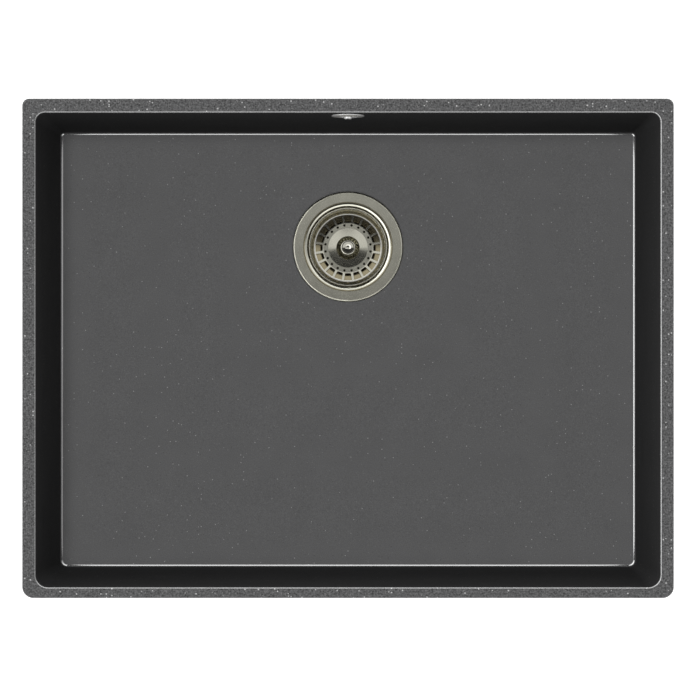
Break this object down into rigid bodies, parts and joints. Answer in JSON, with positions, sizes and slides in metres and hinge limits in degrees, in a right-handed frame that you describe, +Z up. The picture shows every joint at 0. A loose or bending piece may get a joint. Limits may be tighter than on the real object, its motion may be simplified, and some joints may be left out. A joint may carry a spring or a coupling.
{
  "type": "undermount sink",
  "caption": "Undermount single-bowl kitchen sink in dark grey granite composite with a steel basket strainer waste and a round chrome overflow cover.",
  "frame": {"origin": "middle of the rim's flat top face, which is bonded to the underside of a worktop", "axes": "+X along the sink, +Y towards its rear, where the overflow is, +Z up out of the bowl"},
  "size_m": [0.6, 0.46, 0.304],
  "materials": {
    "composite": "satin",
    "strainer_steel": "satin",
    "polished_steel": "gloss",
    "chrome": "gloss",
    "seal_rubber": "matte",
    "waste_plastic": "satin",
    "nut_plastic": "satin",
    "insert_brass": "satin"
  },
  "bodies": {
    "sink": {"sink_bowl": "composite", "clip_inserts": "insert_brass", "strainer_cup": "strainer_steel", "flange_gasket": "seal_rubber", "lower_gasket": "seal_rubber", "clamp_screw": "polished_steel", "clamp_washer": "polished_steel", "waste_body": "waste_plastic", "hub_insert": "insert_brass", "port_nut": "nut_plastic", "port_seal": "seal_rubber", "overflow_cover": "chrome", "overflow_screw": "chrome", "overflow_bush": "waste_plastic", "bush_insert": "insert_brass", "overflow_gasket": "seal_rubber"},
    "basket_body": {"basket": "strainer_steel", "basket_knob": "polished_steel", "basket_pin": "polished_steel", "pin_o_ring": "seal_rubber", "basket_nut": "polished_steel", "seal_retainer": "strainer_steel", "basket_seal": "seal_rubber"}
  },
  "joints": [
    {"name": "basket_lift", "type": "slide", "parent": "sink", "child": "basket_body", "axis": [0, 0, 1], "range_m": [0, 0.26]}
  ]
}
